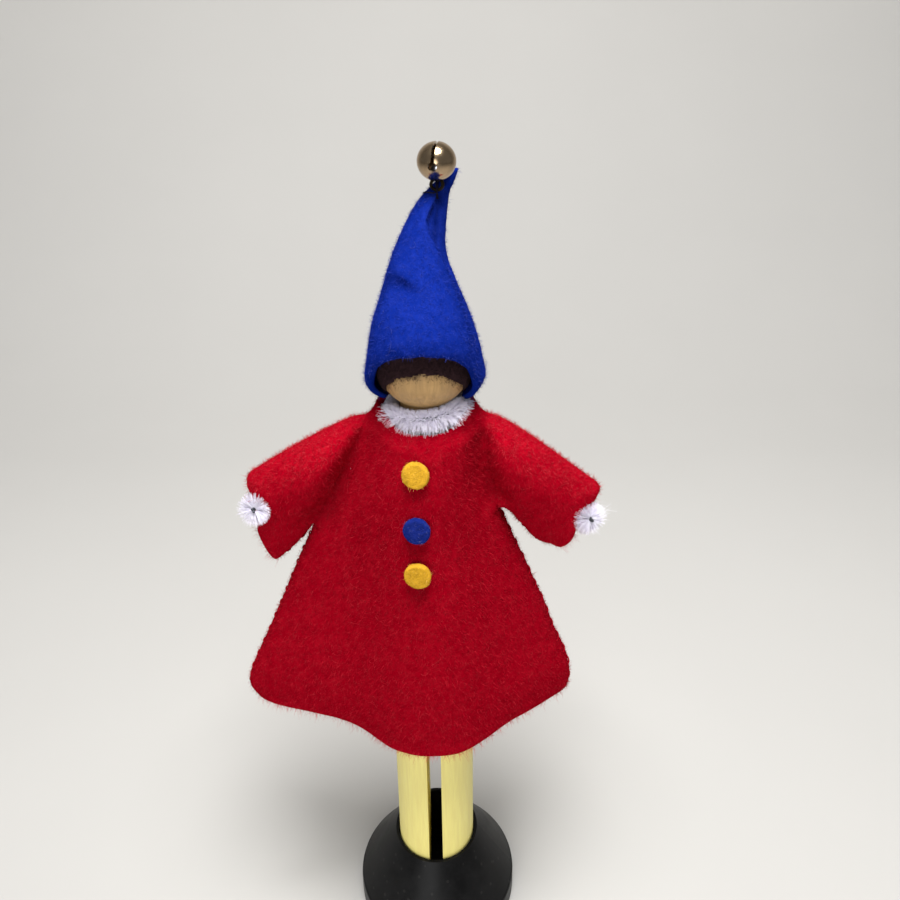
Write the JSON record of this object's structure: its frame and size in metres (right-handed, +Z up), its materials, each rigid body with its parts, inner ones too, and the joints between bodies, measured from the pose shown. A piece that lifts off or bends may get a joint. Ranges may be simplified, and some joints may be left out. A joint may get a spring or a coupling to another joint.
{
  "type": "peg doll",
  "caption": "Dressed wooden peg doll standing in a round socket stand, with a felt coat and pointed hat, bendable chenille arms and collar, and a small jingle bell on the hat's tip",
  "frame": {"origin": "middle of the stand's flat underside, on the axis of its socket", "axes": "+Z up along the peg, +X towards the doll's left hand, the doll faces -Y"},
  "size_m": [0.0573, 0.0287, 0.1404],
  "materials": {
    "stand": "satin black, lightly scuffed",
    "peg_wood": "bare turned wood at the head, pale yellow paint on the legs",
    "hair_wool": "matted dark brown wool",
    "red_felt": "wool felt with a short nap",
    "red_thread": "cotton sewing thread",
    "yellow_felt": "wool felt",
    "blue_button_felt": "wool felt",
    "stem_wire": "twisted steel wire",
    "white_chenille": "white chenille pile",
    "blue_felt": "wool felt with a short nap",
    "blue_thread": "cotton sewing thread",
    "dark_thread": "cotton sewing thread",
    "bell_metal": "pale gold plate, polished",
    "pellet_steel": "plain steel ball"
  },
  "bodies": {
    "stand": {"stand": "stand"},
    "doll": {"peg": "peg_wood", "hair": "hair_wool", "coat": "red_felt", "side_stitches_left": "red_thread", "side_stitches_right": "red_thread", "button_top": "yellow_felt", "button_middle": "blue_button_felt", "button_bottom": "yellow_felt", "neck_wrap_wire": "stem_wire", "neck_wrap_pile": "white_chenille", "collar_wire": "stem_wire", "collar_pile": "white_chenille"},
    "left_arm": {"left_sleeve": "red_felt", "left_sleeve_stitches": "red_thread", "left_arm_wire": "stem_wire", "left_arm_pile": "white_chenille"},
    "right_arm": {"right_sleeve": "red_felt", "right_sleeve_stitches": "red_thread", "right_arm_wire": "stem_wire", "right_arm_pile": "white_chenille"},
    "hat": {"hat": "blue_felt", "hat_stitches": "blue_thread", "bell_thread": "dark_thread"},
    "bell": {"bell_shell": "bell_metal", "bell_loop": "bell_metal"},
    "pellet": {"bell_pellet": "pellet_steel"}
  },
  "joints": [
    {"name": "doll_lift", "type": "slide", "parent": "stand", "child": "doll", "axis": [0, 0, 1], "range_m": [0, 0.03]},
    {"name": "left_arm_bend", "type": "hinge", "parent": "doll", "child": "left_arm", "pos_m": [0.0097, 0, 0.0942], "axis": [0, -1, 0], "range_deg": [-12, 25]},
    {"name": "right_arm_bend", "type": "hinge", "parent": "doll", "child": "right_arm", "pos_m": [-0.0129, 0, 0.09295], "axis": [0, 1, 0], "range_deg": [-5, 25]},
    {"name": "hat_lift", "type": "slide", "parent": "doll", "child": "hat", "axis": [0, 0, 1], "range_m": [0, 0.025]},
    {"name": "bell_swing", "type": "hinge", "parent": "hat", "child": "bell", "pos_m": [0.0021, 0.01072, 0.13408], "axis": [0, 1, 0], "range_deg": [-40, 4]},
    {"name": "pellet_roll", "type": "hinge", "parent": "bell", "child": "pellet", "pos_m": [0.0021, 0.01054, 0.13757], "axis": [0, 1, 0], "range_deg": [-60, 60]}
  ]
}
